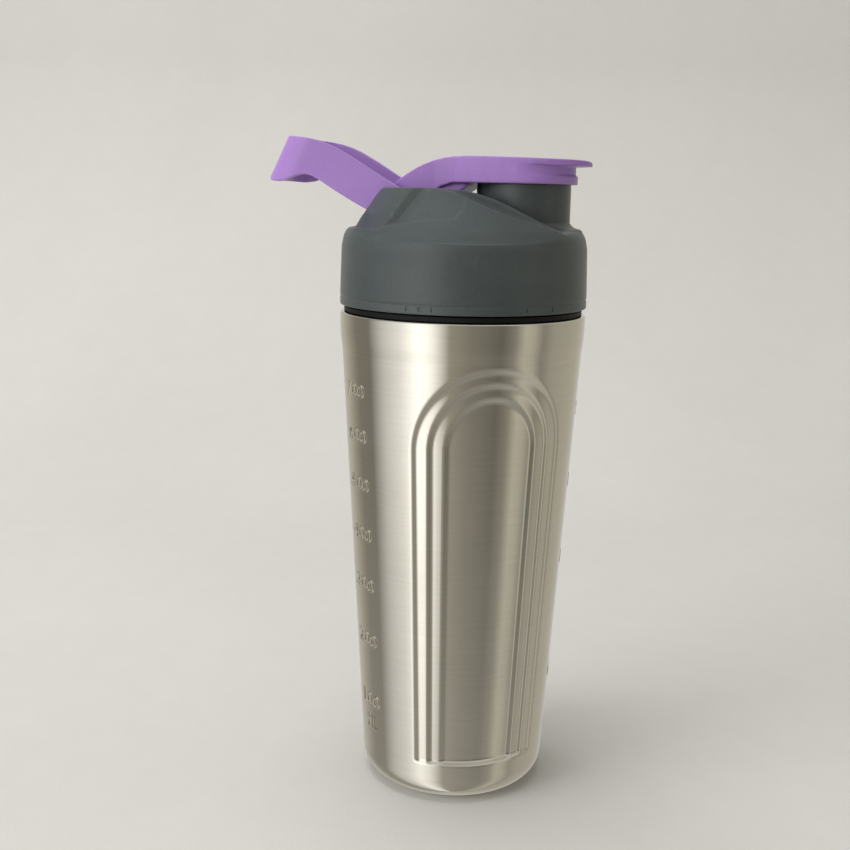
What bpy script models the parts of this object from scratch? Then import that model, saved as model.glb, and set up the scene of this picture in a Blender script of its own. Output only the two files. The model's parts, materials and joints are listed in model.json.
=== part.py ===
"""Stainless steel protein shaker bottle with a screw lid, flip cap and carry loop.

Frame: origin under the middle of the base, +Z up, spout towards +X, loop towards -X,
hinge axis along Y. Metres throughout; dimensions below are in millimetres times MM.
"""
import math

import bmesh
import bpy
from mathutils import Matrix

MM = 0.001
TAU = 2.0 * math.pi

# steel body
BODY_HEIGHT = 185.2
BASE_FLAT_RADIUS = 26.6
CORNER_RADIUS = 9.4
WALL_FOOT_RADIUS = 36.0
SHOULDER_RADIUS = 46.5
SHOULDER_LOW = 178.0
SHOULDER_HIGH = 182.6
LIP_INNER_RADIUS = 43.6
SHEET = 0.6
BODY_STEPS = 64

# arched panels pressed into the body: half width as a share of the local radius, apex, depth
PANEL_TURN = math.radians(26.0)
PANEL_LOW = 16.0
PANEL_SPRING = 139.0
PANEL_ARCHES = ((0.640, 168.0, 0.8), (0.520, 163.0, 1.6), (0.395, 158.0, 2.4))
PANEL_FOOT_STEP = 0.5

# collar snapped into the mouth
COLLAR_FLANGE_RADIUS = 45.1
COLLAR_FLANGE_LOW = 185.5
COLLAR_FLANGE_HIGH = 187.5
COLLAR_NECK_RADIUS = 42.5
COLLAR_BORE_RADIUS = 40.2
COLLAR_TOP = 198.5
COLLAR_FOOT = 174.0
COLLAR_INSERT_RADIUS = 43.2
COLLAR_BEAD_RADIUS = 44.6

# screw thread shared by collar and lid
THREAD_LEAD = 12.0
THREAD_STARTS = 3
THREAD_TURN = 0.55
THREAD_LOW = 190.2
THREAD_DEPTH = 1.5
THREAD_ROOT_WIDTH = 1.7
THREAD_CREST_WIDTH = 1.0
THREAD_STEPS = 18

# lid
LID_BOTTOM = 187.8
LID_STEP = 191.2
LID_INNER_RADIUS = 44.6
LID_LEDGE = 200.9
LID_LEDGE_RADIUS = 38.0
DECK_TOP = 216.4
DECK_UNDER = 214.2
LID_STEPS = 64
EAR_INNER = 19.8
SPOUT_X = 21.9
SPOUT_RADIUS = 17.4
SPOUT_BORE = 15.2
SPOUT_TOP = 236.0

# hinge
HINGE_X = -21.5
HINGE_Z = 224.0
PIN_RADIUS = 1.5
PIN_HALF = 22.6
PIN_CLEARANCE = 0.3
KNUCKLE_RADIUS = 6.2

# flip cap
CAP_TOP = 242.6
CAP_PLATE = 2.2
CAP_SKIRT_LOW = 233.0
CAP_SKIRT_RADIUS = 19.7
CAP_SKIRT_WALL = 1.5
CAP_ARM_HALF = 15.4
CAP_TIP_X = 46.8

# carry loop
LOOP_TILT = math.radians(26.0)
LOOP_OUTER = 19.2
LOOP_BAND = 2.7
LOOP_REACH = 50.9
LOOP_CORNER = 11.0
LOOP_EYE = 6.4

# whisk ball
BALL_RADIUS = 25.0
BALL_WIRE = 1.0
BALL_TURNS = 7
BALL_POINTS_PER_TURN = 16
BALL_CENTRE_Z = 25.8


def collection(name):
    """A collection linked into the scene."""
    made = bpy.data.collections.new(name)
    bpy.context.scene.collection.children.link(made)
    return made


def material(name, colour, roughness, metallic):
    """A plain Principled material."""
    mat = bpy.data.materials.new(name)
    mat.use_nodes = True
    shader = mat.node_tree.nodes["Principled BSDF"]
    shader.inputs["Base Color"].default_value = (*colour, 1.0)
    shader.inputs["Roughness"].default_value = roughness
    shader.inputs["Metallic"].default_value = metallic
    return mat


def link(name, data, into):
    """Put new data in the scene as an object."""
    obj = bpy.data.objects.new(name, data)
    into.objects.link(obj)
    return obj


def baked(obj):
    """Replace an object's mesh or curve with its evaluated mesh."""
    graph = bpy.context.evaluated_depsgraph_get()
    graph.update()
    mesh = bpy.data.meshes.new_from_object(obj.evaluated_get(graph))
    name = obj.name
    into = obj.users_collection[0]
    bpy.data.objects.remove(obj)
    made = link(name, mesh, into)
    tidy(made)
    return made


def tidy(obj):
    """Weld coincident points and face every face outwards."""
    work = bmesh.new()
    work.from_mesh(obj.data)
    bmesh.ops.remove_doubles(work, verts=work.verts, dist=0.002 * MM)
    bmesh.ops.recalc_face_normals(work, faces=work.faces)
    work.to_mesh(obj.data)
    work.free()


def turned(name, points, into, closed=False, steps=BODY_STEPS):
    """A solid of revolution about Z from a profile given as (radius, height)."""
    mesh = bpy.data.meshes.new(name)
    verts = [(r * MM, 0.0, z * MM) for r, z in points]
    edges = [(i, i + 1) for i in range(len(points) - 1)]
    if closed:
        edges.append((len(points) - 1, 0))
    mesh.from_pydata(verts, edges, [])
    obj = link(name, mesh, into)
    screw = obj.modifiers.new("Screw", "SCREW")
    screw.axis = "Z"
    screw.steps = steps
    screw.render_steps = steps
    screw.use_merge_vertices = True
    screw.merge_threshold = 0.000001
    return baked(obj)


def slab(name, points, half_depth, into, placing):
    """A flat outline, extruded both ways along its normal and then placed."""
    curve = bpy.data.curves.new(name, "CURVE")
    curve.dimensions = "2D"
    curve.fill_mode = "BOTH"
    curve.extrude = half_depth * MM
    spline = curve.splines.new("POLY")
    spline.points.add(len(points) - 1)
    for point, (a, b) in zip(spline.points, points):
        point.co = (a * MM, b * MM, 0.0, 1.0)
    spline.use_cyclic_u = True
    obj = baked(link(name, curve, into))
    obj.data.transform(placing)
    tidy(obj)
    return obj


def combine(target, other, operation):
    """Boolean of two solids; the second stays behind as a wire guide."""
    mod = target.modifiers.new("Boolean", "BOOLEAN")
    mod.operation = operation
    mod.solver = "EXACT"
    mod.object = other
    other.hide_render = True
    other.display_type = "WIRE"
    made = baked(target)
    return made


def upright(offset_y=0.0):
    """Placing for outlines drawn in X and Z: the outline normal runs along Y."""
    return Matrix.Translation((0.0, offset_y * MM, 0.0)) @ Matrix.Rotation(math.pi / 2.0, 4, "X")


def level(height):
    """Placing for outlines drawn in X and Y at a height."""
    return Matrix.Translation((0.0, 0.0, height * MM))


def arc(cx, cy, radius, start, end, count):
    """Points along a circular arc, angles in degrees."""
    points = []
    for i in range(count + 1):
        angle = math.radians(start + (end - start) * i / count)
        points.append((cx + radius * math.cos(angle), cy + radius * math.sin(angle)))
    return points


def wall_radius(z):
    """Outside radius of the tapered wall at a height."""
    slope = (SHOULDER_RADIUS - WALL_FOOT_RADIUS) / (BODY_HEIGHT - CORNER_RADIUS)
    return WALL_FOOT_RADIUS + slope * (z - CORNER_RADIUS)


def body_profile(inset):
    """Body section from the rim down to the middle of the base, set in by a sheet thickness."""
    rim = [
        (LIP_INNER_RADIUS, BODY_HEIGHT - inset),
        (45.2 - 0.6 * inset, BODY_HEIGHT - inset),
        (46.1 - 0.9 * inset, BODY_HEIGHT - 0.7 - 0.8 * inset),
        (SHOULDER_RADIUS - inset, SHOULDER_HIGH),
        (SHOULDER_RADIUS - 0.15 - inset, SHOULDER_LOW),
        (wall_radius(170.0) - inset, 170.0),
    ]
    corner = arc(
        WALL_FOOT_RADIUS - CORNER_RADIUS, CORNER_RADIUS, CORNER_RADIUS - inset, 0.0, -90.0, 6
    )
    return rim + corner + [(0.0, inset)]


def panel_outline(share, low, apex, grow):
    """Arch outline in X and Z: sides follow the taper, round head, straight foot."""
    foot = share * wall_radius(low) + grow
    spring = share * wall_radius(PANEL_SPRING) + grow
    rise = apex + grow - PANEL_SPRING
    points = [(-foot, low - grow), (foot, low - grow)]
    for i in range(17):
        angle = math.pi * i / 16
        points.append((spring * math.cos(angle), PANEL_SPRING + rise * math.sin(angle)))
    return points


def pressed(solid, inset, into):
    """Cut the stepped arches of both panels into a body solid."""
    for number, (share, apex, depth) in enumerate(PANEL_ARCHES):
        shrink = inset + depth
        core_profile = [
            (0.0, BODY_HEIGHT),
            (wall_radius(BODY_HEIGHT) - shrink, BODY_HEIGHT),
            (wall_radius(0.0) - shrink, 0.0),
            (0.0, 0.0),
        ]
        core = turned(f"panel_core_{number}_{inset}", core_profile, into)
        low = PANEL_LOW + PANEL_FOOT_STEP * number
        outline = panel_outline(share, low, apex, inset)
        turn = Matrix.Rotation(PANEL_TURN, 4, "Z")
        cutter = slab(f"panel_cutter_{number}_{inset}", outline, 60.0, into, turn @ upright())
        cutter = combine(cutter, core, "DIFFERENCE")
        solid = combine(solid, cutter, "DIFFERENCE")
    return solid


def steel_body(home, guides):
    """Drawn steel cup: tapered wall, rolled-in rim, flat base and two pressed arch panels."""
    outer = [(0.0, BODY_HEIGHT)] + body_profile(0.0)[1:]
    shell = pressed(turned("steel_body", outer, home), 0.0, guides)
    inner = [(0.0, BODY_HEIGHT + 3.0), (LIP_INNER_RADIUS, BODY_HEIGHT + 3.0)]
    inner += body_profile(SHEET)
    cavity = pressed(turned("body_cavity", inner, guides), SHEET, guides)
    return combine(shell, cavity, "DIFFERENCE")


def thread_ridge(name, root, crest, phase, into):
    """One start of a thread: a trapezoid swept along a helix with tapered ends."""
    mesh = bpy.data.meshes.new(name)
    side = [
        (root, -THREAD_ROOT_WIDTH / 2.0),
        (crest, -THREAD_CREST_WIDTH / 2.0),
        (crest, THREAD_CREST_WIDTH / 2.0),
        (root, THREAD_ROOT_WIDTH / 2.0),
    ]
    verts = []
    for i in range(THREAD_STEPS + 1):
        part = i / THREAD_STEPS
        fade = min(1.0, 10.0 * part, 10.0 * (1.0 - part))
        angle = phase + TAU * THREAD_TURN * part
        rise = THREAD_LOW + THREAD_LEAD * THREAD_TURN * part
        for radius, height in side:
            r = root + (radius - root) * max(fade, 0.12)
            verts.append((r * math.cos(angle) * MM, r * math.sin(angle) * MM, (rise + height) * MM))
    faces = [(3, 2, 1, 0)]
    for i in range(THREAD_STEPS):
        for j in range(4):
            a = 4 * i + j
            b = 4 * i + (j + 1) % 4
            faces.append((a, b, b + 4, a + 4))
    last = 4 * THREAD_STEPS
    faces.append((last, last + 1, last + 2, last + 3))
    mesh.from_pydata(verts, [], faces)
    obj = link(name, mesh, into)
    tidy(obj)
    return obj


def neck_collar(home, guides):
    """Moulded collar: insert that snaps under the steel lip, flange, and threaded neck."""
    profile = [
        (COLLAR_BORE_RADIUS, COLLAR_TOP),
        (COLLAR_NECK_RADIUS - 0.6, COLLAR_TOP),
        (COLLAR_NECK_RADIUS, COLLAR_TOP - 0.6),
        (COLLAR_NECK_RADIUS, COLLAR_FLANGE_HIGH),
        (COLLAR_FLANGE_RADIUS - 0.4, COLLAR_FLANGE_HIGH),
        (COLLAR_FLANGE_RADIUS, COLLAR_FLANGE_HIGH - 0.4),
        (COLLAR_FLANGE_RADIUS, COLLAR_FLANGE_LOW),
        (COLLAR_INSERT_RADIUS, COLLAR_FLANGE_LOW),
        (COLLAR_INSERT_RADIUS, 184.3),
        (COLLAR_BEAD_RADIUS, 183.6),
        (COLLAR_BEAD_RADIUS, 182.8),
        (COLLAR_INSERT_RADIUS, 181.6),
        (COLLAR_INSERT_RADIUS, 180.4),
        (42.2, 180.4),
        (42.2, 177.2),
        (COLLAR_INSERT_RADIUS, 177.2),
        (COLLAR_INSERT_RADIUS, COLLAR_FOOT + 0.8),
        (COLLAR_INSERT_RADIUS - 0.8, COLLAR_FOOT),
        (COLLAR_BORE_RADIUS + 0.4, COLLAR_FOOT),
    ]
    collar = turned("neck_collar", profile, home, closed=True)
    for start in range(THREAD_STARTS):
        phase = TAU * start / THREAD_STARTS
        crest = COLLAR_NECK_RADIUS + THREAD_DEPTH
        name = f"collar_thread_{start}"
        ridge = thread_ridge(name, COLLAR_NECK_RADIUS - 0.6, crest, phase, guides)
        collar = combine(collar, ridge, "UNION")
    return collar


def collar_seal(home):
    """Silicone ring in the collar groove, pressing on the inside of the steel wall."""
    profile = [(42.5, 180.1), (44.3, 180.1), (45.0, 179.4), (45.0, 178.2), (44.3, 177.5)]
    profile.append((42.5, 177.5))
    return turned("collar_seal", profile, home, closed=True)


def lid_outer_profile():
    """Lid outside from the deck centre out and down the skirt."""
    return [
        (0.0, DECK_TOP),
        (42.6, DECK_TOP),
        (43.6, 216.1),
        (44.5, 215.2),
        (45.3, 213.6),
        (45.8, 211.8),
        (46.2, 208.6),
        (46.6, 202.0),
        (46.9, 196.0),
        (47.0, LID_STEP + 0.2),
        (46.7, LID_STEP - 0.2),
        (46.9, LID_BOTTOM + 0.4),
        (46.5, LID_BOTTOM),
        (0.0, LID_BOTTOM),
    ]


def lid_cavity_profile():
    """Inside of the lid: thread wall, gasket ledge and the hollow under the deck."""
    return [
        (0.0, DECK_UNDER),
        (41.0, DECK_UNDER),
        (42.8, 212.0),
        (43.4, 205.4),
        (LID_LEDGE_RADIUS, 203.1),
        (LID_LEDGE_RADIUS, LID_LEDGE),
        (LID_INNER_RADIUS, LID_LEDGE),
        (LID_INNER_RADIUS, LID_BOTTOM - 3.0),
        (0.0, LID_BOTTOM - 3.0),
    ]


def ear_outline():
    """Side view of the ears, X and Z."""
    points = [(-41.0, 215.0), (-37.6, 216.4), (-35.2, 219.2), (-33.0, 223.2), (-31.2, 226.4)]
    points += [(-28.6, 229.0), (-25.6, 230.3), (-22.0, 230.7), (-6.4, 230.7), (-1.6, 230.2)]
    points += [(3.2, 228.8), (8.2, 226.8), (15.2, 224.1), (22.4, 221.4), (29.4, 219.0)]
    points += [(36.4, 216.9), (40.0, 215.6), (40.0, 215.0)]
    return points


def ear_flank(side, home, guides):
    """One ear: side outline extruded, outside leaned in on a cone, finger scoop cut out."""
    middle = side * (EAR_INNER + 15.0)
    ear = slab(f"ear_{side}", ear_outline(), 15.0, guides, upright(middle))
    cone = [(0.0, 232.0), (33.4, 232.0), (35.4, 229.0), (38.2, 224.0), (41.4, 219.0)]
    cone += [(43.4, 216.2), (43.4, 214.8), (0.0, 214.8)]
    limit = turned(f"ear_limit_{side}", cone, guides, steps=LID_STEPS)
    ear = combine(ear, limit, "INTERSECT")
    bpy.ops.mesh.primitive_uv_sphere_add(segments=24, ring_count=12, radius=1.0)
    scoop = bpy.context.object
    scoop.name = f"ear_scoop_{side}"
    lean = Matrix.Rotation(math.radians(-12.0), 4, "Y")
    size = Matrix.Diagonal((24.0 * MM, 9.0 * MM, 6.6 * MM, 1.0))
    spot = Matrix.Translation((-17.0 * MM, side * 39.5 * MM, 223.4 * MM))
    scoop.data.transform(spot @ lean @ size)
    for old in list(scoop.users_collection):
        old.objects.unlink(scoop)
    guides.objects.link(scoop)
    return combine(ear, scoop, "DIFFERENCE")


def spout_profile():
    """Round spout rising from the deck with a flared root."""
    return [
        (0.0, SPOUT_TOP),
        (SPOUT_RADIUS - 1.0, SPOUT_TOP),
        (SPOUT_RADIUS - 0.4, SPOUT_TOP - 0.5),
        (SPOUT_RADIUS, 233.0),
        (SPOUT_RADIUS, 219.6),
        (SPOUT_RADIUS + 0.8, 218.4),
        (SPOUT_RADIUS + 3.6, 217.2),
        (SPOUT_RADIUS + 4.4, 216.4),
        (SPOUT_RADIUS + 4.4, 215.0),
        (0.0, 215.0),
    ]


def lid_shell(home, guides):
    """Moulded lid: threaded skirt, deck, two hinge ears and the spout in one piece."""
    shell = turned("lid_shell", lid_outer_profile(), home, steps=LID_STEPS)
    for side in (-1, 1):
        shell = combine(shell, ear_flank(side, home, guides), "UNION")
    spout = turned("spout_outer", spout_profile(), guides, steps=48)
    spout.data.transform(Matrix.Translation((SPOUT_X * MM, 0.0, 0.0)))
    shell = combine(shell, spout, "UNION")
    cavity = turned("lid_cavity", lid_cavity_profile(), guides, steps=LID_STEPS)
    shell = combine(shell, cavity, "DIFFERENCE")
    bore_profile = [(0.0, 240.0), (SPOUT_BORE, 240.0), (SPOUT_BORE, 210.0), (0.0, 210.0)]
    bore = turned("spout_bore", bore_profile, guides, steps=48)
    bore.data.transform(Matrix.Translation((SPOUT_X * MM, 0.0, 0.0)))
    shell = combine(shell, bore, "DIFFERENCE")
    hole = rod("pin_hole", PIN_RADIUS + PIN_CLEARANCE, PIN_HALF + PIN_CLEARANCE, guides)
    hole.data.transform(Matrix.Translation((HINGE_X * MM, 0.0, HINGE_Z * MM)))
    shell = combine(shell, hole, "DIFFERENCE")
    for start in range(THREAD_STARTS):
        phase = TAU * (start + 0.5) / THREAD_STARTS
        crest = LID_INNER_RADIUS - THREAD_DEPTH
        ridge = thread_ridge(f"lid_thread_{start}", LID_INNER_RADIUS + 0.6, crest, phase, guides)
        shell = combine(shell, ridge, "UNION")
    return shell


def lid_gasket(home):
    """Silicone gasket between the lid ledge and the top of the collar neck."""
    profile = [(39.2, 200.6), (43.6, 200.6), (44.0, 200.2), (44.0, 199.2), (43.6, 198.8)]
    profile += [(39.6, 198.8), (39.2, 199.2)]
    return turned("lid_gasket", profile, home, closed=True)


def rod(name, radius, half, into):
    """A round bar along Y about the origin."""
    profile = [(0.0, half), (radius, half), (radius, -half), (0.0, -half)]
    made = turned(name, profile, into, steps=32)
    made.data.transform(Matrix.Rotation(math.pi / 2.0, 4, "X"))
    return made


def hinge_pin(home):
    """Steel pin lying in blind sockets of both ears."""
    return rod("hinge_pin", PIN_RADIUS, PIN_HALF, home)


def cap_arm_outline():
    """Side view of the cap arm, measured from the hinge axis, X and Z."""
    points = arc(0.0, 0.0, KNUCKLE_RADIUS, 340.0, 150.0, 14)
    points += [(-2.6, 9.0), (1.4, 12.0), (5.4, 14.4), (10.0, 16.6), (15.0, 18.0), (19.2, 18.6)]
    points += [(25.6, 18.6), (25.6, 10.6), (19.5, 9.2), (14.4, 7.4), (9.6, 2.4)]
    return points


def cap_plate_outline():
    """Plan of the cap top: straight flanks, then an egg-shaped front ending in a thumb tab."""
    front = [(26.0, 19.5), (32.0, 17.9), (37.0, 15.2), (41.0, 12.2), (44.2, 9.0), (46.2, 5.2)]
    half = [(-4.0, CAP_ARM_HALF - 0.3), (1.0, 17.2), (6.0, 18.9), (11.0, 19.6), (21.0, 19.7)] + front
    tip = [(CAP_TIP_X, 0.0)]
    points = half + tip + [(x, -y) for x, y in reversed(half)]
    return [(x - HINGE_X, y) for x, y in points]


def flip_cap(home, guides):
    """Flip cap: hinge arm, top plate with thumb tab, and the skirt that covers the spout."""
    cap = slab("flip_cap", cap_arm_outline(), CAP_ARM_HALF, home, upright())
    plate_mid = CAP_TOP - CAP_PLATE / 2.0 - HINGE_Z
    plate = slab("cap_plate", cap_plate_outline(), CAP_PLATE / 2.0, guides, level(plate_mid))
    cap = combine(cap, plate, "UNION")
    low = CAP_SKIRT_LOW - HINGE_Z
    high = CAP_TOP - HINGE_Z
    inner = CAP_SKIRT_RADIUS - CAP_SKIRT_WALL
    drum_profile = [(0.0, high - 0.3), (CAP_SKIRT_RADIUS, high - 0.3)]
    drum_profile += [(CAP_SKIRT_RADIUS, low + 0.4), (CAP_SKIRT_RADIUS - 0.4, low), (0.0, low)]
    drum = turned("cap_drum", drum_profile, guides, steps=48)
    shift = Matrix.Translation(((SPOUT_X - HINGE_X) * MM, 0.0, 0.0))
    drum.data.transform(shift)
    cap = combine(cap, drum, "UNION")
    under = high - CAP_PLATE - 0.1
    well_profile = [(0.0, under), (inner, under), (inner, low - 9.0), (0.0, low - 9.0)]
    well = turned("cap_well", well_profile, guides, steps=48)
    well.data.transform(shift)
    cap = combine(cap, well, "DIFFERENCE")
    hole = rod("cap_pin_hole", PIN_RADIUS + PIN_CLEARANCE, 30.0, guides)
    cap = combine(cap, hole, "DIFFERENCE")
    cap.location = (HINGE_X * MM, 0.0, HINGE_Z * MM)
    return cap


def spout_seal(home):
    """Silicone plug held under the cap plate; its rim closes the spout mouth."""
    top = CAP_TOP - CAP_PLATE - 0.3 - HINGE_Z
    rim = SPOUT_TOP + 0.3 - HINGE_Z
    profile = [(0.0, top), (17.6, top), (17.6, rim), (13.6, rim), (13.2, rim - 2.8)]
    profile += [(11.4, rim - 3.2), (11.0, rim + 1.2), (0.0, rim + 1.2)]
    seal = turned("spout_seal", profile, home, steps=48)
    seal.data.transform(Matrix.Translation(((SPOUT_X - HINGE_X) * MM, 0.0, 0.0)))
    seal.location = (HINGE_X * MM, 0.0, HINGE_Z * MM)
    return seal


def loop_outline():
    """Side view of the carry loop before tilting: eye, straight arm, deep end bar for the finger."""
    points = arc(0.0, 0.0, LOOP_EYE, -90.0, 90.0, 12)
    points += [(-12.0, 6.9), (-22.0, 7.9), (-30.0, 8.4), (-34.0, 8.2), (-38.0, 7.6)]
    points += [(-42.0, 6.6), (-46.0, 5.2), (-LOOP_REACH - 0.5, 3.3), (-LOOP_REACH - 0.5, -13.2)]
    points += [(-48.6, -14.0), (-45.0, -12.6), (-41.8, -10.4), (-39.5, -7.6), (-37.0, -5.6)]
    points += [(-34.0, -4.8), (-30.0, -5.0), (-24.0, -5.6), (-12.0, -6.2)]
    return points


def loop_plan(half, reach, corner, start):
    """Plan outline of the loop: open square end at the hinge, round corners at the far end."""
    points = [(start, -half), (start, half)]
    points += arc(-reach + corner, half - corner, corner, 90.0, 180.0, 10)
    points += arc(-reach + corner, corner - half, corner, 180.0, 270.0, 10)
    return points


def carry_loop(home, guides):
    """Carry loop: one flat band bent round, its two ends forming eyes on the hinge pin."""
    loop = slab("carry_loop", loop_outline(), LOOP_OUTER + 1.0, home, upright())
    outer = slab("loop_outer", loop_plan(LOOP_OUTER, LOOP_REACH, LOOP_CORNER, 10.0), 20.0,
                 guides, level(0.0))
    loop = combine(loop, outer, "INTERSECT")
    window = loop_plan(LOOP_OUTER - LOOP_BAND, LOOP_REACH - LOOP_BAND,
                       LOOP_CORNER - LOOP_BAND, 20.0)
    inner = slab("loop_inner", window, 30.0, guides, level(0.0))
    loop = combine(loop, inner, "DIFFERENCE")
    hole = rod("loop_pin_hole", PIN_RADIUS + PIN_CLEARANCE, 30.0, guides)
    loop = combine(loop, hole, "DIFFERENCE")
    loop.data.transform(Matrix.Rotation(LOOP_TILT, 4, "Y"))
    loop.location = (HINGE_X * MM, 0.0, HINGE_Z * MM)
    return loop


def whisk_ball(home):
    """Wire whisk ball: one stainless wire wound over a sphere from pole to pole."""
    curve = bpy.data.curves.new("whisk_ball", "CURVE")
    curve.dimensions = "3D"
    curve.bevel_depth = BALL_WIRE * MM
    curve.bevel_resolution = 1
    curve.use_fill_caps = True
    count = BALL_TURNS * BALL_POINTS_PER_TURN
    spline = curve.splines.new("POLY")
    spline.points.add(count)
    radius = BALL_RADIUS - BALL_WIRE
    for i in range(count + 1):
        part = i / count
        lat = math.radians(-84.0 + 168.0 * part)
        lon = TAU * BALL_TURNS * part
        flat = radius * math.cos(lat)
        spot = (flat * math.cos(lon) * MM, flat * math.sin(lon) * MM, radius * math.sin(lat) * MM)
        spline.points[i].co = (*spot, 1.0)
    ball = baked(link("whisk_ball", curve, home))
    ball.location = (0.0, 0.0, BALL_CENTRE_Z * MM)
    return ball


def finish(obj, mat):
    """Material and smooth shading."""
    obj.data.materials.clear()
    obj.data.materials.append(mat)
    for face in obj.data.polygons:
        face.use_smooth = True


def main():
    for obj in list(bpy.data.objects):
        bpy.data.objects.remove(obj)
    home = collection("protein_shaker_bottle")
    guides = collection("cutters")
    steel = material("brushed_steel", (0.55, 0.52, 0.48), 0.32, 1.0)
    black = material("black_collar", (0.012, 0.012, 0.013), 0.45, 0.0)
    slate = material("slate_lid", (0.070, 0.086, 0.092), 0.42, 0.0)
    purple = material("purple_cap", (0.36, 0.19, 0.55), 0.40, 0.0)
    violet = material("purple_loop", (0.34, 0.18, 0.53), 0.40, 0.0)
    clear = material("milky_silicone", (0.70, 0.70, 0.68), 0.55, 0.0)
    rubber = material("grey_silicone", (0.20, 0.20, 0.21), 0.60, 0.0)
    plug = material("plug_silicone", (0.62, 0.60, 0.64), 0.55, 0.0)
    pin_steel = material("pin_steel", (0.60, 0.60, 0.60), 0.25, 1.0)
    wire = material("whisk_wire", (0.66, 0.66, 0.65), 0.20, 1.0)
    finish(steel_body(home, guides), steel)
    finish(neck_collar(home, guides), black)
    finish(collar_seal(home), rubber)
    finish(lid_shell(home, guides), slate)
    finish(lid_gasket(home), clear)
    pin = hinge_pin(home)
    pin.location = (HINGE_X * MM, 0.0, HINGE_Z * MM)
    finish(pin, pin_steel)
    finish(flip_cap(home, guides), purple)
    finish(spout_seal(home), plug)
    finish(carry_loop(home, guides), violet)
    finish(whisk_ball(home), wire)


main()
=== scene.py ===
import json
import math

import bpy
import numpy as np
from mathutils import Matrix, Vector


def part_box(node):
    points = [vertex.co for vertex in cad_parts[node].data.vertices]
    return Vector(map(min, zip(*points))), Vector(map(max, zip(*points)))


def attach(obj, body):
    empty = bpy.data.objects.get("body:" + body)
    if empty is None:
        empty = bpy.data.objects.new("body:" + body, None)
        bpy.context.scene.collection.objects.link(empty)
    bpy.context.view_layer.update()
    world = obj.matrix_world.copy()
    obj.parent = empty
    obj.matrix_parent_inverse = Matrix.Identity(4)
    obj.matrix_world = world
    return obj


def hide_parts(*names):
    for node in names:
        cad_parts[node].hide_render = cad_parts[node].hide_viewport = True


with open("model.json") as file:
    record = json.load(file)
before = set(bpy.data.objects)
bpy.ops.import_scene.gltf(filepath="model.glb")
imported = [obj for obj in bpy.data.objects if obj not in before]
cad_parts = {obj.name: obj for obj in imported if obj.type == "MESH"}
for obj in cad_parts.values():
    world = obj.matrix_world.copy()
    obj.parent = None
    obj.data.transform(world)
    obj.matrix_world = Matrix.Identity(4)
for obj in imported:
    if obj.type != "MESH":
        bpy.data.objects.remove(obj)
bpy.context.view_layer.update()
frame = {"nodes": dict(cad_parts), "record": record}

# ---------------------------------------------------------------------------
# Steel cup. One deep-drawn sheet of stainless, 0.6 mm thick, spun in to a lip
# at the mouth. Two opposite flanks are pressed inwards in three arched steps,
# and the outside is brushed round and round before the figures are struck.

MM = 0.001


def start_clean():
    """Leave edit mode and let go of everything."""
    if bpy.context.object and bpy.context.object.mode != "OBJECT":
        bpy.ops.object.mode_set(mode="OBJECT")
    bpy.ops.object.select_all(action="DESELECT")


def take_up(piece):
    """Let go of everything else and make this piece the one being worked on."""
    start_clean()
    piece.select_set(True)
    bpy.context.view_layer.objects.active = piece


def worked(piece, kind, **settings):
    """Put one modifier on a piece and apply it."""
    take_up(piece)
    step = piece.modifiers.new(kind.title(), kind)
    for key, value in settings.items():
        setattr(step, key, value)
    bpy.ops.object.modifier_apply(modifier=step.name)
    return piece


def draw_line(name, points):
    """A polyline drawn on from one point, left in edit mode with all of it selected."""
    start_clean()
    bpy.ops.mesh.primitive_plane_add(size=MM)
    bpy.context.object.name = name
    bpy.ops.object.mode_set(mode="EDIT")
    bpy.ops.mesh.select_mode(type="VERT")
    bpy.ops.mesh.select_all(action="SELECT")
    bpy.ops.mesh.merge(type="CENTER")
    bpy.ops.transform.translate(value=Vector(points[0]) * MM)
    for here, there in zip(points, points[1:]):
        step = (Vector(there) - Vector(here)) * MM
        bpy.ops.mesh.extrude_vertices_move(TRANSFORM_OT_translate={"value": step})
    bpy.ops.mesh.select_all(action="SELECT")


def turned(name, profile, steps, middle=0.0):
    """A turned piece: its section in X and Z spun about an upright axis at X = middle."""
    draw_line(name, [(x + middle, 0.0, z) for x, z in profile])
    bpy.ops.mesh.spin(steps=steps, angle=2 * math.pi, center=(middle * MM, 0, 0), axis=(0, 0, 1))
    bpy.ops.mesh.select_all(action="SELECT")
    bpy.ops.mesh.remove_doubles(threshold=0.01 * MM)
    bpy.ops.mesh.normals_make_consistent(inside=False)
    bpy.ops.object.mode_set(mode="OBJECT")
    return bpy.context.object


def settle(piece, angle=40.0):
    """Smooth shading with creases kept, and the piece's place put into its mesh."""
    take_up(piece)
    bpy.ops.object.transform_apply(location=True, rotation=True, scale=True)
    bpy.ops.object.shade_smooth_by_angle(angle=math.radians(angle))
    return piece


def bow(cx, cz, radius, first, last, count):
    """Points round part of a circle, in degrees."""
    turns = [math.radians(first + (last - first) * i / count) for i in range(count + 1)]
    return [(cx + radius * math.cos(t), cz + radius * math.sin(t)) for t in turns]


def run(first, last, count):
    """Points along a straight run, without its first."""
    return [
        tuple(a + (b - a) * i / count for a, b in zip(first, last)) for i in range(1, count + 1)
    ]


sheet_thickness = 0.6
cup_height = round(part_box("steel_body")[1][2] / MM, 2)
foot_radius, mouth_radius = 36.0, 46.5
corner = 9.4
panel_low, panel_foot_rise, panel_spring = 15.6, 1.5, 139.5
panel_steps = ((40.2, 169.6, 2.5), (32.2, 164.2, 2.0), (24.0, 159.0, 2.0))
step_depth = 0.8
panel_middles = (math.radians(-64.0), math.radians(116.0))


def cup_radius(z):
    """Outside radius of the tapering wall."""
    return foot_radius + (z - corner) * (mouth_radius - foot_radius) / (cup_height - corner)


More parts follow.
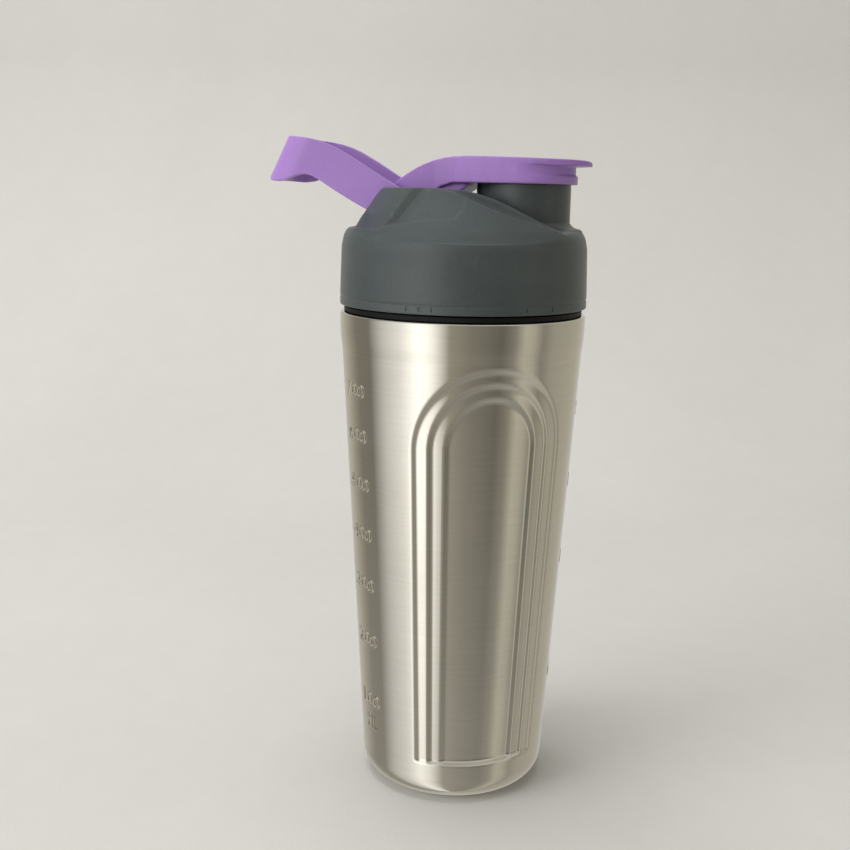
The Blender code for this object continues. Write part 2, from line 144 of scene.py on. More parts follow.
def pressed_depth(angle, z):
    """How far the press pushes the wall in, for arrays of angle and height."""
    depth = np.zeros_like(z)
    radius = cup_radius(z)
    for middle in panel_middles:
        away = np.abs((angle - middle + math.pi) % (2 * math.pi) - math.pi)
        for half, apex, slope in panel_steps:
            half = math.radians(half)
            side = (half - away) * radius
            rise = apex - panel_spring
            wide = half * cup_radius(panel_spring)
            round_part = np.hypot(away * radius / wide, (z - panel_spring) / rise)
            top = (1.0 - round_part) * (wide + rise) / 2
            inside = np.where(z < panel_spring, side, top)
            part = np.clip(inside / slope, 0, 1)
            part = part * np.clip((z - panel_low) / panel_foot_rise, 0, 1)
            depth += step_depth * part * part * (3 - 2 * part)
    return depth


wall = [(0.0, 0.0), (8.0, 0.0), (18.0, 0.0)]
wall += bow(foot_radius - corner, corner, corner, -90, 0, 14)
for low, high, count in ((corner, 15.0, 4), (15.0, 18.0, 8), (18.0, 136.0, 20), (136.0, 171.0, 42)):
    wall += run((cup_radius(low), low), (cup_radius(high), high), count)
wall += [(46.1, 174.0), (46.3, 176.5), (46.42, 179.0), (46.48, 181.0), (46.5, 183.2)]
wall += bow(45.6, 184.3, 0.9, 0, 90, 6)
wall += [(44.4, 185.18), (43.7, 185.1)]
steel_cup = turned("steel_cup", wall, 420)
spots = np.empty(len(steel_cup.data.vertices) * 3)
steel_cup.data.vertices.foreach_get("co", spots)
spots = spots.reshape(-1, 3) / MM
round_at = np.arctan2(spots[:, 1], spots[:, 0])
out_at = np.hypot(spots[:, 0], spots[:, 1])
pushed = pressed_depth(round_at, spots[:, 2])
spots[:, :2] *= ((out_at - pushed) / np.maximum(out_at, 1e-6))[:, None]
steel_cup.data.vertices.foreach_set("co", (spots * MM).ravel())
worked(steel_cup, "SOLIDIFY", thickness=sheet_thickness * MM, offset=-1.0)
settle(steel_cup, 50.0)


class Wire:
    """A shader value that takes part in Python sums."""

    def __init__(self, tree, socket):
        self.tree = tree
        self.socket = socket

    def sum_with(self, operation, *values):
        """Add a Math node over these values."""
        node = self.tree.nodes.new("ShaderNodeMath")
        node.operation = operation
        for place, value in zip(node.inputs, values):
            if isinstance(value, Wire):
                self.tree.links.new(value.socket, place)
            else:
                place.default_value = value
        return Wire(self.tree, node.outputs[0])

    def __add__(self, other):
        return self.sum_with("ADD", self, other)

    __radd__ = __add__

    def __sub__(self, other):
        return self.sum_with("SUBTRACT", self, other)

    def __rsub__(self, other):
        return self.sum_with("SUBTRACT", other, self)

    def __mul__(self, other):
        return self.sum_with("MULTIPLY", self, other)

    __rmul__ = __mul__


class Mixture:
    """A node tree being put together."""

    def __init__(self, tree):
        self.tree = tree

    def node(self, kind, settings, sockets, output=0):
        """Any node: its type, its settings, then the values or links of its sockets."""
        made = self.tree.nodes.new(kind)
        for key, value in settings.items():
            if key == "stops":
                ramp = made.color_ramp
                while len(ramp.elements) < len(value):
                    ramp.elements.new(0.5)
                for element, (place, colour) in zip(ramp.elements, value):
                    element.position = place
                    element.color = colour
            else:
                setattr(made, key, value)
        for key, value in sockets.items():
            if isinstance(value, Wire):
                self.tree.links.new(value.socket, made.inputs[key])
            else:
                made.inputs[key].default_value = value
        return Wire(self.tree, made.outputs[output])

    def tint(self, mask, low, high):
        """A colour that goes from low, which may be a link, to high with the mask."""
        base = low if isinstance(low, Wire) else (*low, 1.0)
        settings = {"data_type": "RGBA", "clamp_factor": True}
        return self.node("ShaderNodeMix", settings, {0: mask, 6: base, 7: (*high, 1.0)}, 2)

    def span(self, value, low, high, to_low=0.0, to_high=1.0):
        """Stretch a value's range onto another, clamped."""
        sockets = {0: value, 1: low, 2: high, 3: to_low, 4: to_high}
        return self.node("ShaderNodeMapRange", {"clamp": True}, sockets)

    def along(self, vector):
        """The X, Y and Z of a vector."""
        apart = self.node("ShaderNodeSeparateXYZ", {}, {0: vector}).socket.node
        return [Wire(self.tree, place) for place in apart.outputs]


class Finish(Mixture):
    """A material being mixed for one surface."""

    def __init__(self, name, **fixed):
        self.material = bpy.data.materials.new(name)
        self.material.use_nodes = True
        super().__init__(self.material.node_tree)
        self.shader = self.tree.nodes["Principled BSDF"]
        for key, value in fixed.items():
            self.shader.inputs[key.replace("_", " ")].default_value = value

    def place(self, stretch=(1.0, 1.0, 1.0)):
        """Object coordinates, stretched."""
        spot = self.node("ShaderNodeTexCoord", {}, {}, 3)
        return self.node("ShaderNodeMapping", {}, {"Vector": spot, "Scale": stretch})

    def noise(self, vector, scale, detail=3.0, rough=0.55):
        """A noise value of about 0 to 1."""
        sockets = {"Vector": vector, "Scale": scale, "Detail": detail, "Roughness": rough}
        return self.node("ShaderNodeTexNoise", {}, sockets)

    def show(self, **links):
        """Link finished values to the shader's own sockets."""
        for key, value in links.items():
            self.tree.links.new(value.socket, self.shader.inputs[key.replace("_", " ")])

    def bumps(self, height, strength, reach):
        """Surface relief from a height value, reach in metres."""
        sockets = {"Height": height, "Strength": strength, "Distance": reach}
        self.show(Normal=self.node("ShaderNodeBump", {}, sockets))


def brushed(name, low, high, rough_low, rough_high):
    """Steel brushed round an upright axis: fine level lines, hazy bands and handling marks."""
    steel = Finish(name, Metallic=1.0, Anisotropic=0.55, Anisotropic_Rotation=0.25)
    x, y, z = steel.along(steel.place())
    turn = x.sum_with("ARCTAN2", y, x)
    fine = steel.node("ShaderNodeCombineXYZ", {}, {0: turn * 3.0, 1: z * 5200.0, 2: 0.0})
    coarse = steel.node("ShaderNodeCombineXYZ", {}, {0: turn * 1.4, 1: z * 900.0, 2: 4.0})
    cloud = steel.node("ShaderNodeCombineXYZ", {}, {0: turn * 1.2, 1: z * 22.0, 2: 9.0})
    lines = steel.noise(fine, 1.0, 2.0)
    bands = steel.noise(coarse, 1.0, 2.0)
    haze = steel.noise(cloud, 1.6, 3.0)
    smear = steel.noise(steel.place((1.0, 1.0, 0.7)), 34.0, 4.0)
    mask = lines * 0.35 + bands * 0.30 + haze * 0.35
    steel.show(Base_Color=steel.tint(steel.span(mask, 0.34, 0.66), low, high))
    rough = lines * 0.10 + haze * 0.25 + steel.span(smear, 0.52, 0.72) * 0.35 + bands * 0.15
    steel.show(Roughness=steel.span(rough, 0.18, 0.52, rough_low, rough_high))
    steel.bumps(lines * 0.6 + bands * 0.4, 0.05, 0.00010)
    return steel.material


cup_steel = brushed("cup brushed steel", (0.69, 0.665, 0.59), (0.765, 0.74, 0.665), 0.075, 0.165)
steel_cup.data.materials.append(cup_steel)
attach(steel_cup, "cup")
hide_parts("steel_body")

# ---------------------------------------------------------------------------
# Raised figures. The measuring scale is struck from inside, so each figure
# stands up to half a millimetre proud of the brushed wall. Millilitres run up
# one flank beside the arches, and ounces up the other.

figure_height = 5.3
face_share = 1.42
stroke_rise, stroke_round = 0.32, 0.13
sunk = 0.10


def struck(text, angle, height, proud_by, widen):
    """One figure group, its right-hand edge at an angle round the cup, bent to the wall."""
    start_clean()
    bpy.ops.object.text_add()
    figure = bpy.context.object
    figure.data.body = text
    figure.data.size = figure_height * face_share * MM
    figure.data.align_x = "RIGHT"
    figure.data.align_y = "CENTER"
    figure.data.space_character = 1.12
    figure.data.offset = -0.06 * MM
    figure.data.extrude = stroke_rise * MM
    figure.data.bevel_depth = stroke_round * MM
    figure.data.bevel_resolution = 2
    figure.data.resolution_u = 6
    bpy.ops.object.convert(target="MESH")
    figure = bpy.context.object
    bpy.ops.object.mode_set(mode="EDIT")
    bpy.ops.mesh.select_all(action="SELECT")
    bpy.ops.mesh.remove_doubles(threshold=0.002 * MM)
    bpy.ops.mesh.quads_convert_to_tris()
    bpy.ops.mesh.subdivide(number_cuts=1)
    bpy.ops.object.mode_set(mode="OBJECT")
    for vertex in figure.data.vertices:
        across, up, proud = vertex.co
        z = height + up / MM
        base = cup_radius(z)
        turn = angle + widen * across / (base * MM)
        reach = base - sunk + (proud / MM) * proud_by / (stroke_rise + stroke_round)
        vertex.co = Vector((reach * math.cos(turn), reach * math.sin(turn), z)) * MM
    return figure


def scale_of_figures(name, marks, angle_of, proud_by):
    """All the figures of one scale as one piece."""
    made = []
    for text, z in marks:
        letters = text in ("ML", "OZ")
        turn = angle_of(z) - (math.radians(3.4) if letters else 0.0)
        made.append(struck(text, turn, z, proud_by, 0.80 if letters else 1.28))
    start_clean()
    for figure in made:
        figure.select_set(True)
    bpy.context.view_layer.objects.active = made[0]
    bpy.ops.object.join()
    made[0].name = name
    settle(made[0], 35.0)
    made[0].data.materials.append(cup_steel)
    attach(made[0], "cup")


ml_marks = [("700", 157.1), ("600", 140.1), ("500", 121.5), ("400", 102.0), ("300", 82.0)]
ml_marks += [("200", 59.5), ("100", 34.2), ("ML", 24.8)]
scale_of_figures("figures_ml", ml_marks, lambda z: math.radians(-129.4 - 0.024 * (z - 34.0)), 0.55)
oz_marks = [("20", 149.5), ("15", 121.0), ("10", 90.0), ("5", 54.0), ("OZ", 43.0)]
scale_of_figures("figures_oz", oz_marks, lambda z: math.radians(16.0), 0.30)

# ---------------------------------------------------------------------------
# Neck collar. A black moulded ring snapped under the steel lip, with a flange
# that shows as a dark line below the lid, and three threads round its neck.
# Its silicone ring seals against the inside of the steel.


def moulded_finish(name, low, high, rough_low, rough_high, grain=0.06, scuffs=0.5, **fixed):
    """Injection-moulded plastic: fine spark texture, flow clouding, scuffs and dust."""
    plastic = Finish(name, **fixed)
    spot = plastic.place()
    texture = plastic.noise(spot, 2600.0, 2.0, 0.6)
    pits = plastic.noise(spot, 900.0, 3.0, 0.6)
    flow = plastic.noise(plastic.place((1.0, 1.0, 2.2)), 26.0, 3.0)
    rub = plastic.noise(plastic.place((1.0, 1.0, 0.25)), 420.0, 5.0, 0.7)
    patch = plastic.noise(spot, 48.0, 4.0, 0.6)
    worn = plastic.span(rub, 0.58, 0.74) * plastic.span(patch, 0.48, 0.66)
    mask = flow * 0.6 + pits * 0.4
    colour = plastic.tint(plastic.span(mask, 0.36, 0.64), low, high)
    paler = tuple(0.72 * c + 0.28 * 0.55 for c in high)
    plastic.show(Base_Color=plastic.tint(worn * 0.35 * scuffs, colour, paler))
    rough = flow * 0.35 + pits * 0.25 + worn * 0.5 * scuffs + patch * 0.2
    plastic.show(Roughness=plastic.span(rough, 0.25, 0.62, rough_low, rough_high))
    plastic.bumps(texture * 0.5 + pits * 0.5 + worn * 0.2, grain, 0.0002)
    return plastic.material


def dress(node, finish):
    """Give a frame node its own finish in every slot."""
    piece = frame["nodes"][node]
    for place in piece.material_slots:
        place.material = finish


black_plastic = moulded_finish(
    "collar black plastic", (0.005, 0.005, 0.006), (0.010, 0.010, 0.011), 0.45, 0.65, 0.06, 0.2,
    Specular_IOR_Level=0.2,
)
dress("neck_collar", black_plastic)
grey_silicone = moulded_finish(
    "seal grey silicone", (0.17, 0.17, 0.18), (0.23, 0.23, 0.24), 0.50, 0.72, 0.03, 0.2
)
dress("collar_seal", grey_silicone)

# ---------------------------------------------------------------------------
# Lid skirt. The threaded lower half of the slate-grey polypropylene lid: a
# plain band with a narrow bead at the foot that carries mould marks, and the
# seat for the gasket inside.

skirt_section = [(38.0, 203.1), (43.0, 205.4), (43.0, 211.6), (44.6, 212.1), (45.42, 212.1)]
skirt_section += [(45.60, 212.02), (45.70, 211.75), (45.95, 210.6), (46.13, 209.6), (46.20, 207.4)]
skirt_section += [(46.32, 203.0), (46.46, 198.6), (46.58, 194.4)]
skirt_section += [(46.64, 191.9), (46.60, 191.5), (46.40, 191.25), (46.38, 191.0), (46.54, 190.8)]
skirt_section += [(46.60, 190.4), (46.64, 188.8)]
skirt_section += bow(46.15, 188.3, 0.5, 0, -90, 5)
skirt_section += [(45.0, 187.8), (44.6, 188.2), (44.6, 200.9), (38.0, 200.9), (38.0, 203.1)]
lid_skirt = turned("lid_skirt", skirt_section, 256)


def block(name, outline, low, high, flat="Z"):
    """A flat outline drawn point by point, filled, and pushed through to a thickness."""
    if flat == "Z":
        points = [(a, b, low) for a, b in outline]
        push = (0, 0, (high - low) * MM)
    else:
        points = [(a, low, b) for a, b in outline]
        push = (0, (high - low) * MM, 0)
    draw_line(name, points)
    bpy.ops.mesh.edge_face_add()
    bpy.ops.mesh.extrude_region_move(TRANSFORM_OT_translate={"value": push})
    bpy.ops.mesh.select_all(action="SELECT")
    bpy.ops.mesh.normals_make_consistent(inside=False)
    bpy.ops.object.mode_set(mode="OBJECT")
    return bpy.context.object


def joined(piece, other, way):
    """Join, cut or cross one solid with another and use the other up."""
    worked(piece, "BOOLEAN", operation=way, solver="EXACT", object=other)
    bpy.data.objects.remove(other)
    return piece


def moulded(piece, cell, passes):
    """Soften a solid as a mould would: one even skin with rounded edges."""
    size = cell * MM * 1.0
    worked(piece, "REMESH", mode="VOXEL", voxel_size=size)
    worked(piece, "SMOOTH", factor=0.5, iterations=passes)
    bpy.ops.object.shade_smooth()
    return piece


def thinned(piece, share):
    """Fewer faces where the skin is nearly flat."""
    worked(piece, "DECIMATE", ratio=share)
    bpy.ops.object.shade_smooth()


slate = moulded_finish(
    "lid slate plastic", (0.052, 0.065, 0.067), (0.068, 0.083, 0.085), 0.28, 0.44, 0.05, 0.7
)
mould_marks = ((-105.0, 1.1), (-98.0, 3.2), (-93.6, 0.8), (-52.0, 0.6), (-38.0, 0.5))
mould_marks += ((60.0, 0.8), (150.0, 0.8))
bead_radius, bead_middle = 46.8, 189.7
for turn, wide in mould_marks:
    start_clean()
    bpy.ops.mesh.primitive_cube_add(size=1.0)
    nick = bpy.context.object
    bpy.ops.object.mode_set(mode="EDIT")
    bpy.ops.mesh.select_all(action="SELECT")
    bpy.ops.transform.resize(value=(0.9 * MM, wide * MM, 1.7 * MM))
    bpy.ops.mesh.bevel(offset=0.12 * MM, segments=2)
    bpy.ops.transform.translate(value=(bead_radius * MM, 0, bead_middle * MM))
    bpy.ops.object.mode_set(mode="OBJECT")
    nick.data.transform(Matrix.Rotation(math.radians(turn), 4, "Z"))
    joined(lid_skirt, nick, "DIFFERENCE")
settle(lid_skirt, 35.0)
lid_skirt.data.materials.append(slate)
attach(lid_skirt, "lid")
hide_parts("lid_shell")

# ---------------------------------------------------------------------------
# Lid crown. The upper half of the same moulding: a shoulder that rolls in to
# the deck, two tall ears that carry the hinge, a finger scoop in each ear and
# the flared root of the spout.

crown_section = [(0.0, 216.4), (30.0, 216.4), (42.2, 216.4), (43.1, 216.25), (43.9, 215.8)]
crown_section += [(44.6, 215.0), (45.2, 213.8), (45.65, 212.2), (45.95, 210.6), (46.12, 209.6)]
crown_section += [(46.24, 206.6), (44.0, 206.6), (43.4, 211.4), (41.0, 214.2), (0.0, 214.2)]
lid_crown = turned("lid_crown", crown_section, 200)


crown_oval = 1.032
trim_low = 212.1


def flank(name, out):
    """The leaning outer limit of the crown, as a solid, drawn a little oval along X."""
    line = [(0.0, 234.0), (31.8, 234.0), (33.4, 232.0), (35.4, 229.0), (38.1, 224.2)]
    line += [(41.1, 219.2), (43.0, 216.2), (45.1, 212.2), (46.5, 209.0), (46.5, 205.0)]
    line += [(0.0, 205.0)]
    shape = [(max(x + out, 0.0) if x else 0.0, z) for x, z in line]
    limit = turned(name, shape, 200)
    limit.data.transform(Matrix.Diagonal((crown_oval, 1.0, 1.0, 1.0)))
    return limit


trim = turned("trim", [(0.0, 240.0), (60.0, 240.0), (60.0, trim_low), (0.0, trim_low)], 64)
joined(trim, flank("trim_core", 0.0), "DIFFERENCE")
joined(lid_crown, trim, "DIFFERENCE")
ear_side = [(-41.0, 214.4), (-37.6, 215.9), (-36.3, 217.6), (-35.4, 220.2), (-34.3, 223.4)]
ear_side += [(-32.7, 226.5), (-30.6, 229.0), (-28.0, 230.4), (-25.2, 230.8), (-20.0, 230.9)]
ear_side += [(-6.4, 230.9), (-2.6, 230.5), (1.4, 229.5), (5.0, 228.2), (9.0, 226.5)]
ear_side += [(15.2, 224.0), (22.4, 221.3), (29.4, 218.9), (36.4, 216.7), (41.0, 215.2)]
ear_inner = [(-10.0, 216.0), (-10.0, 230.9), (-6.4, 230.9), (-1.6, 230.7), (3.2, 230.2)]
ear_inner += [(7.7, 229.3), (13.5, 227.6), (18.7, 225.5), (24.4, 222.8), (29.4, 220.4)]
ear_inner += [(34.0, 218.2), (38.5, 216.2), (38.5, 215.0), (-10.0, 215.0)]
upper_edge = [(-48.0, 205.5), (-33.0, 213.0), (-29.0, 215.0), (-23.0, 217.0), (-19.0, 218.2)]
upper_edge += [(-15.0, 219.0), (-9.0, 219.6), (-3.0, 220.0), (3.0, 220.2), (6.0, 224.0)]
upper_edge += [(6.0, 236.0), (-48.0, 236.0)]
slot_half, ear_wall, far_out = 19.8, 27.5, 52.0
crease_depth, crease_shift = 0.28, 0.9
valley = [(-14.6, 32.6), (-40.0, 34.8), (-40.0, 60.0), (18.0, 60.0)]
valley_lean, valley_draft, valley_height = 0.75, 0.3, 223.5


def sided(name, outline, side, near, far):
    """A side-on outline pushed through on one side of the lid."""
    low, high = sorted((side * near, side * far))
    return block(name, outline, low, high, "Y")


for side in (-1, 1):
    ear = sided("ear", ear_side, side, slot_half, far_out)
    joined(ear, sided("inner", ear_inner, side, slot_half, ear_wall), "UNION")
    joined(ear, flank("limit", 0.0), "INTERSECT")
    upper = sided("upper", upper_edge, side, 18.0, far_out)
    floor = flank("upper_floor", -crease_depth)
    floor.data.transform(Matrix.Translation((crease_shift * MM, 0, 0)))
    joined(upper, floor, "DIFFERENCE")
    joined(ear, upper, "DIFFERENCE")
    scoop = block("scoop", [(x, side * y) for x, y in valley], 205.0, 240.0)
    slant = Matrix.Identity(4)
    slant[0][2], slant[1][2] = valley_lean, -side * valley_draft
    pivot = Matrix.Translation((0, 0, valley_height * MM))
    scoop.data.transform(pivot @ slant @ pivot.inverted())
    joined(scoop, sided("keep", upper_edge, side, 18.0, far_out), "INTERSECT")
    joined(ear, scoop, "DIFFERENCE")
    joined(lid_crown, ear, "UNION")
spout_middle = round(sum(corner_at[0] for corner_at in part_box("spout_seal")) / 2 / MM, 2)
flare = [(0.0, 219.4), (17.4, 219.4), (17.9, 218.4), (19.2, 217.4), (21.4, 216.9), (22.2, 216.2)]
flare += [(22.2, 215.2), (0.0, 215.2)]
joined(lid_crown, turned("flare", flare, 96, spout_middle), "UNION")
bore = [(0.0, 225.0), (16.2, 225.0), (16.2, 210.0), (0.0, 210.0)]
joined(lid_crown, turned("bore", bore, 96, spout_middle), "DIFFERENCE")
joints = {joint["name"]: joint for joint in frame["record"]["behaviour"]["joints"]}
hinge_x, _, hinge_z = (round(place / MM, 2) for place in joints["cap_flip"]["pos_m"])
pin_hole, socket_half = 1.8, 22.9
pin_round = bow(hinge_x, hinge_z, pin_hole, 0, 345, 23)
socket = block("socket", pin_round, -socket_half, socket_half, "Y")
joined(lid_crown, socket, "DIFFERENCE")
moulded(lid_crown, 0.38, 3)
bpy.ops.object.mode_set(mode="EDIT")
bpy.ops.mesh.select_all(action="SELECT")
bpy.ops.mesh.bisect(plane_co=(0, 0, (trim_low - 0.15) * MM), plane_no=(0, 0, 1), clear_inner=True)
bpy.ops.object.mode_set(mode="OBJECT")
thinned(lid_crown, 0.45)
lid_crown.data.materials.append(slate)
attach(lid_crown, "lid")
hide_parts("lid_shell")

# ---------------------------------------------------------------------------
# Spout. A plain round tube in one with the lid, rolled over at its lip so that
# the silicone plug seats on it.

spout_section = [(15.2, 214.6), (15.2, 235.2)] + bow(16.1, 235.1, 0.9, 180, 60, 6)
spout_section += [(17.05, 235.2), (17.3, 234.0), (17.4, 232.0), (17.4, 217.0), (17.0, 214.6)]
spout_section += [(15.2, 214.6)]
spout = turned("spout", spout_section, 144, spout_middle)
settle(spout, 40.0)
spout.data.materials.append(slate)
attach(spout, "lid")
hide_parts("lid_shell")

# ---------------------------------------------------------------------------
# Gasket, hinge pin and whisk ball. A milky silicone ring under the lid, a
# ground steel pin across the ears, and the loose ball of stainless wire that
# breaks up the powder.

milky = moulded_finish(
    "gasket milky silicone", (0.62, 0.62, 0.60), (0.72, 0.72, 0.70), 0.42, 0.62, 0.03, 0.2
)
dress("lid_gasket", milky)
dress("hinge_pin", brushed("pin ground steel", (0.55, 0.55, 0.54), (0.68, 0.68, 0.67), 0.16, 0.3))
dress("whisk_ball", brushed("ball wire steel", (0.60, 0.60, 0.59), (0.74, 0.74, 0.72), 0.12, 0.24))

# ---------------------------------------------------------------------------
# Flip cap. One purple polypropylene moulding: an arm that rises from the hinge
# between the ears, a keyhole-shaped hood over the spout and a thumb tab. It
# snaps shut on the spout lip.

cap_side = bow(hinge_x, hinge_z, 6.2, 340, 150, 18)
cap_side += [(-24.6, 231.6), (-22.6, 233.6), (-19.6, 235.8), (-16.4, 237.8), (-13.0, 239.5)]
cap_side += [(-9.4, 240.9), (-5.8, 241.8), (-2.0, 242.3), (3.0, 242.5), (12.0, 242.4)]
cap_side += [(24.0, 242.1), (36.0, 241.9), (44.0, 241.7), (46.5, 241.3), (46.8, 239.6)]
cap_side += [(46.2, 238.5), (42.0, 238.5), (36.0, 239.3), (30.0, 239.9), (4.0, 239.9)]
cap_side += [(3.0, 233.2), (-2.0, 233.1), (-6.6, 231.6), (-10.4, 228.6), (-13.2, 225.0)]
arm_plan = [(-30.0, 15.3), (-9.0, 15.3), (-4.0, 15.8), (-1.2, 16.2), (2.0, 17.5), (8.0, 18.6)]
arm_plan += [(15.0, 19.4), (21.0, 19.7), (27.0, 19.4), (32.0, 18.1), (36.6, 15.8)]
arm_plan += [(40.4, 12.9), (43.4, 9.8), (45.7, 6.2), (46.8, 2.4)]
arm_plan += [(x, -y) for x, y in reversed(arm_plan)]
flip_cap = block("flip_cap_shell", cap_side, -21.0, 21.0, "Y")
joined(flip_cap, block("plan", arm_plan, 210.0, 250.0), "INTERSECT")


def hood_plan(inset, back):
    """Keyhole outline: round over the spout, flanks that follow the arm back."""
    points = bow(spout_middle, 0.0, 19.7 - inset, -90, 90, 32)
    beside = ((15.0, 19.4), (8.0, 18.6), (2.0, 17.5), (-1.2, 16.2))
    upper = [(x, y - inset) for x, y in beside if x > back]
    upper += [(back, 16.0 - inset)]
    return points + upper + [(x, -y) for x, y in reversed(upper)]


hood = block("hood", hood_plan(0.0, -3.0), 233.0, 241.0)
joined(flip_cap, hood, "UNION")
well = block("well", hood_plan(1.6, 3.4), 225.0, 239.7)
joined(flip_cap, well, "DIFFERENCE")
web_side = [(-18.0, 226.0), (-18.0, 234.0), (-8.0, 238.0), (3.2, 238.0), (3.2, 232.4)]
web_side += [(2.4, 231.2), (0.4, 230.0), (-3.0, 228.7), (-8.0, 226.8), (-13.0, 225.2)]
joined(flip_cap, block("web", web_side, -14.2, 14.2, "Y"), "UNION")
groove_section = [(0.0, 236.3), (26.0, 236.0), (26.0, 239.6), (0.0, 239.6)]
groove = turned("groove", groove_section, 144, spout_middle)
core_section = [(0.0, 230.0), (19.65, 230.0), (19.65, 245.0), (0.0, 245.0)]
core_back = 0.75
joined(groove, turned("core", core_section, 144, spout_middle - core_back), "DIFFERENCE")
front_half = [(spout_middle, -30.0), (55.0, -30.0), (55.0, 30.0), (spout_middle, 30.0)]
joined(groove, block("front_half", front_half, 230.0, 250.0), "INTERSECT")
joined(flip_cap, groove, "DIFFERENCE")
joined(flip_cap, block("eye", pin_round, -30.0, 30.0, "Y"), "DIFFERENCE")
moulded(flip_cap, 0.34, 5)
thinned(flip_cap, 0.5)
cap_purple = moulded_finish(
    "cap purple plastic", (0.330, 0.180, 0.520), (0.380, 0.215, 0.580), 0.30, 0.46, 0.04, 0.5,
    Subsurface_Weight=0.08, Subsurface_Scale=0.002,
)
flip_cap.data.materials.append(cap_purple)
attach(flip_cap, "cap")
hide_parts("flip_cap")
plug_silicone = moulded_finish(
    "plug silicone", (0.56, 0.54, 0.58), (0.66, 0.64, 0.67), 0.42, 0.60, 0.03, 0.2
)
dress("spout_seal", plug_silicone)

# ---------------------------------------------------------------------------
# Carry loop. A flat purple strap moulded as a long U, its closed end drooping
# a little, and each end rounded into an eye on the hinge pin. It is stiff
# enough to stand where it is left.

loop_tilt = math.radians(26.0)
loop_half, loop_reach, loop_round, loop_band = 19.2, 50.8, 11.0, 2.7
knuckle = 6.4
loop_side = bow(0.0, 0.0, knuckle, -90, 90, 16)
loop_side += [(-8.0, 6.6), (-15.0, 7.2), (-22.0, 7.9), (-30.0, 8.35), (-34.0, 8.15)]
loop_side += [(-38.0, 7.55), (-42.0, 6.5), (-46.0, 5.1), (-51.3, 3.2), (-51.3, -13.0)]
loop_side += [(-48.6, -13.9), (-45.0, -12.5), (-41.8, -10.3), (-39.5, -7.5), (-37.0, -5.6)]
loop_side += [(-34.0, -4.8), (-30.0, -5.0), (-24.0, -5.6), (-16.0, -6.1), (-8.0, -6.3)]


def loop_plan(half, reach, bend, start):
    """Outline of the U from above."""
    points = [(start, -half), (start, half)]
    points += bow(-reach + bend, half - bend, bend, 90, 180, 14)
    return points + bow(-reach + bend, bend - half, bend, 180, 270, 14)


carry_loop = block("carry_loop_band", loop_side, -21.0, 21.0, "Y")
outer = block("outer", loop_plan(loop_half, loop_reach, loop_round, 12.0), -20.0, 20.0)
joined(carry_loop, outer, "INTERSECT")
inner = [size - loop_band for size in (loop_half, loop_reach, loop_round)]
window = loop_plan(*inner, 20.0)
joined(carry_loop, block("window", window, -30.0, 30.0), "DIFFERENCE")
eyes = block("eyes", bow(0.0, 0.0, pin_hole, 0, 345, 23), -30.0, 30.0, "Y")
joined(carry_loop, eyes, "DIFFERENCE")
tilt = Matrix.Rotation(loop_tilt, 4, "Y")
carry_loop.data.transform(Matrix.Translation((hinge_x * MM, 0, hinge_z * MM)) @ tilt)
moulded(carry_loop, 0.36, 3)
loop_purple = moulded_finish(
    "loop purple plastic", (0.330, 0.185, 0.520), (0.375, 0.215, 0.575), 0.32, 0.48, 0.04, 0.5,
    Subsurface_Weight=0.08, Subsurface_Scale=0.002,
)
carry_loop.data.materials.append(loop_purple)
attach(carry_loop, "loop")
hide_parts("carry_loop")

# ---------------------------------------------------------------------------
# Table and light. A pale cloth that runs level under the bottle and sweeps up
# behind it, a broad window to the left of the camera, a dim room in front and
# a narrower light to the right.

facing = math.radians(11.0)
sweep_line = [(-1600.0, 0.0), (-700.0, 0.0), (0.0, 0.0), (330.0, 0.0)]
sweep_line += bow(330.0, 420.0, 420.0, -90, -8, 20)
sweep_line += [(760.0, 700.0), (770.0, 1700.0)]
draw_line("sweep", [(-2200.0, a, b) for a, b in sweep_line])
bpy.ops.mesh.extrude_region_move(TRANSFORM_OT_translate={"value": (4.4, 0, 0)})
bpy.ops.mesh.select_all(action="SELECT")
bpy.ops.mesh.normals_make_consistent(inside=False)
bpy.ops.mesh.flip_normals()
bpy.ops.object.mode_set(mode="OBJECT")
sweep = bpy.context.object
sweep.data.transform(Matrix.Rotation(facing, 4, "Z"))
settle(sweep, 60.0)
cloth = Finish("pale cloth", Roughness=0.95, Specular_IOR_Level=0.1)
folds_and_fold_shade = cloth.noise(cloth.place((1.0, 1.0, 0.4)), 3.2, 3.0, 0.5)
grain = cloth.noise(cloth.place(), 60.0, 4.0)
# The cloth's colour follows the same fold noise as its bump: painted shade makes the low parts of
# the folds darker, mixed with the real tone of the grain.
mask = cloth.span(folds_and_fold_shade * 0.75 + grain * 0.25, 0.35, 0.65)
cloth.show(Base_Color=cloth.tint(mask, (0.560, 0.552, 0.535), (0.595, 0.588, 0.570)))
cloth.bumps(folds_and_fold_shade * 0.9 + cloth.noise(cloth.place(), 900.0, 2.0) * 0.02, 0.35, 0.012)
sweep.data.materials.append(cloth.material)
sweep.visible_glossy = False

world = bpy.data.worlds.new("soft room")
bpy.context.scene.world = world
world.use_nodes = True
air = Mixture(world.node_tree)
air.tree.nodes.clear()
wx, wy, wz = air.along(air.node("ShaderNodeTexCoord", {}, {}, 0))
across = wx * math.cos(facing) + wy * math.sin(facing)
towards = wx * math.sin(facing) - wy * math.cos(facing)
bearing = across.sum_with("ARCTAN2", across, towards) * (0.5 / math.pi) + 0.5


def grey(value, warmth=0.5):
    """A grey that is warmer the dimmer the room is there."""
    return value, value * (1.0 - 0.06 * warmth), value * (1.0 - 0.20 * warmth)


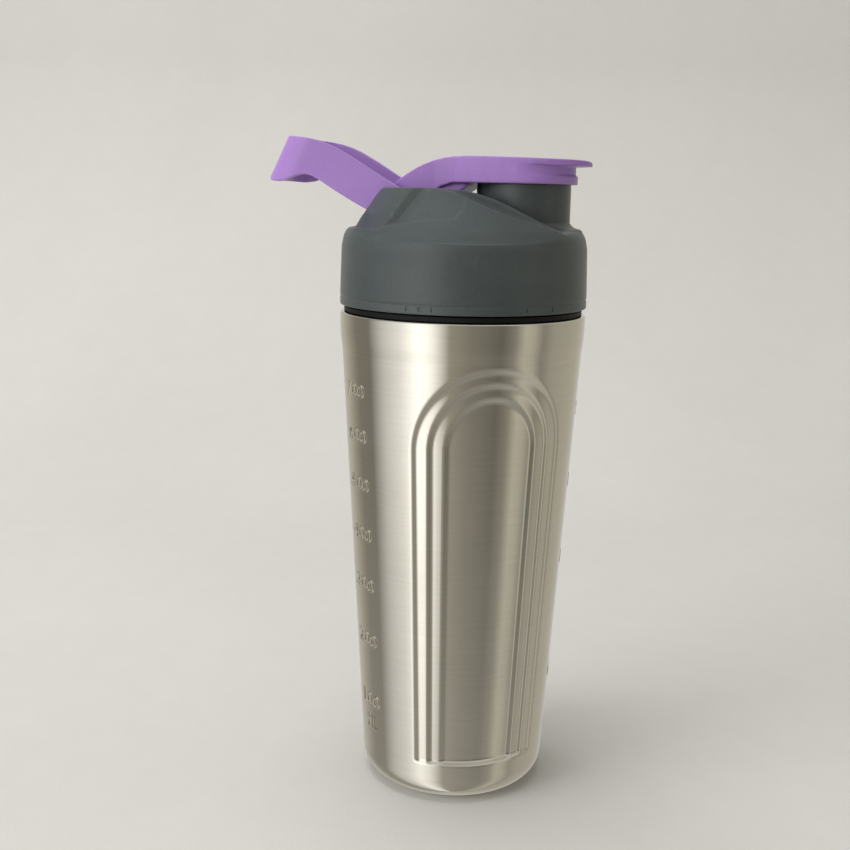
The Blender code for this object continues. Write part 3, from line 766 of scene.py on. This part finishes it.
room = ((0.0, 0.62), (0.10, 0.48), (0.17, 0.24), (0.225, 0.22), (0.275, 0.68), (0.33, 1.02))
room += ((0.385, 1.65), (0.42, 1.30), (0.465, 0.36), (0.52, 0.25), (0.60, 0.16), (0.635, 0.27))
room += ((0.665, 0.56), (0.69, 0.50), (0.72, 0.28), (0.76, 0.40), (0.88, 0.48), (1.0, 0.62))
stops = [(place, (*grey(value, 0.15 if value > 0.6 else 1.0), 1.0)) for place, value in room]
bands = air.node("ShaderNodeValToRGB", {"stops": stops}, {"Fac": bearing})
low = air.span(wz, -0.60, -0.28, 0.42, 0.0)
high = air.span(wz, 0.35, 1.0, 0.0, 1.0)
whole = air.tint(high, air.tint(low, bands, grey(0.46)), grey(0.60, 0.3))
glow = air.node("ShaderNodeBackground", {}, {"Color": whole, "Strength": 1.0})
sky = air.tree.nodes.new("ShaderNodeOutputWorld")
air.tree.links.new(glow.socket, sky.inputs["Surface"])


lit_height = 0.13


def lamp(name, bearing_deg, height, reach, size, power, colour):
    """A soft square light aimed at the middle of the bottle."""
    start_clean()
    turn = facing + math.radians(bearing_deg - 90.0)
    spot = Vector((reach * math.cos(turn), reach * math.sin(turn), height))
    bpy.ops.object.light_add(type="AREA", location=spot)
    light = bpy.context.object
    light.name = name
    light.data.size = size
    light.data.energy = power
    light.data.color = colour
    light.rotation_euler = (Vector((0, 0, lit_height)) - spot).to_track_quat("-Z", "Y").to_euler()
    light.visible_glossy = False


lamp("window_light", -62.0, 0.70, 1.5, 0.9, 12.0, (1.0, 0.985, 0.96))
lamp("ceiling_light", -110.0, 1.9, 0.25, 1.0, 17.0, (1.0, 0.99, 0.97))
bpy.context.scene.view_settings.view_transform = "Standard"

# ---------------------------------------------------------------------------
# Camera. Chest height over a table, a little above the lid and looking down.

start_clean()
eye_spot = Vector((-0.0120, -0.4395, 0.2272))
pitch, roll, yaw = 0.1945, 0.0192, 0.0034
film_width, picture_width, focal_reach = 36.0, 850.0, 1150.0
bpy.ops.object.camera_add()
camera = bpy.context.object
camera.name = "view_camera"
camera.data.sensor_width = film_width
camera.data.lens = film_width * focal_reach / picture_width
camera.data.clip_start = 0.01
camera.data.dof.use_dof = False
aim = Matrix.Rotation(yaw, 4, "Z") @ Matrix.Rotation(math.pi / 2 - pitch, 4, "X")
aim = aim @ Matrix.Rotation(roll, 4, "Z")
turn_round = Matrix.Rotation(facing, 4, "Z")
camera.matrix_world = turn_round @ Matrix.Translation(eye_spot) @ aim
bpy.context.scene.camera = camera
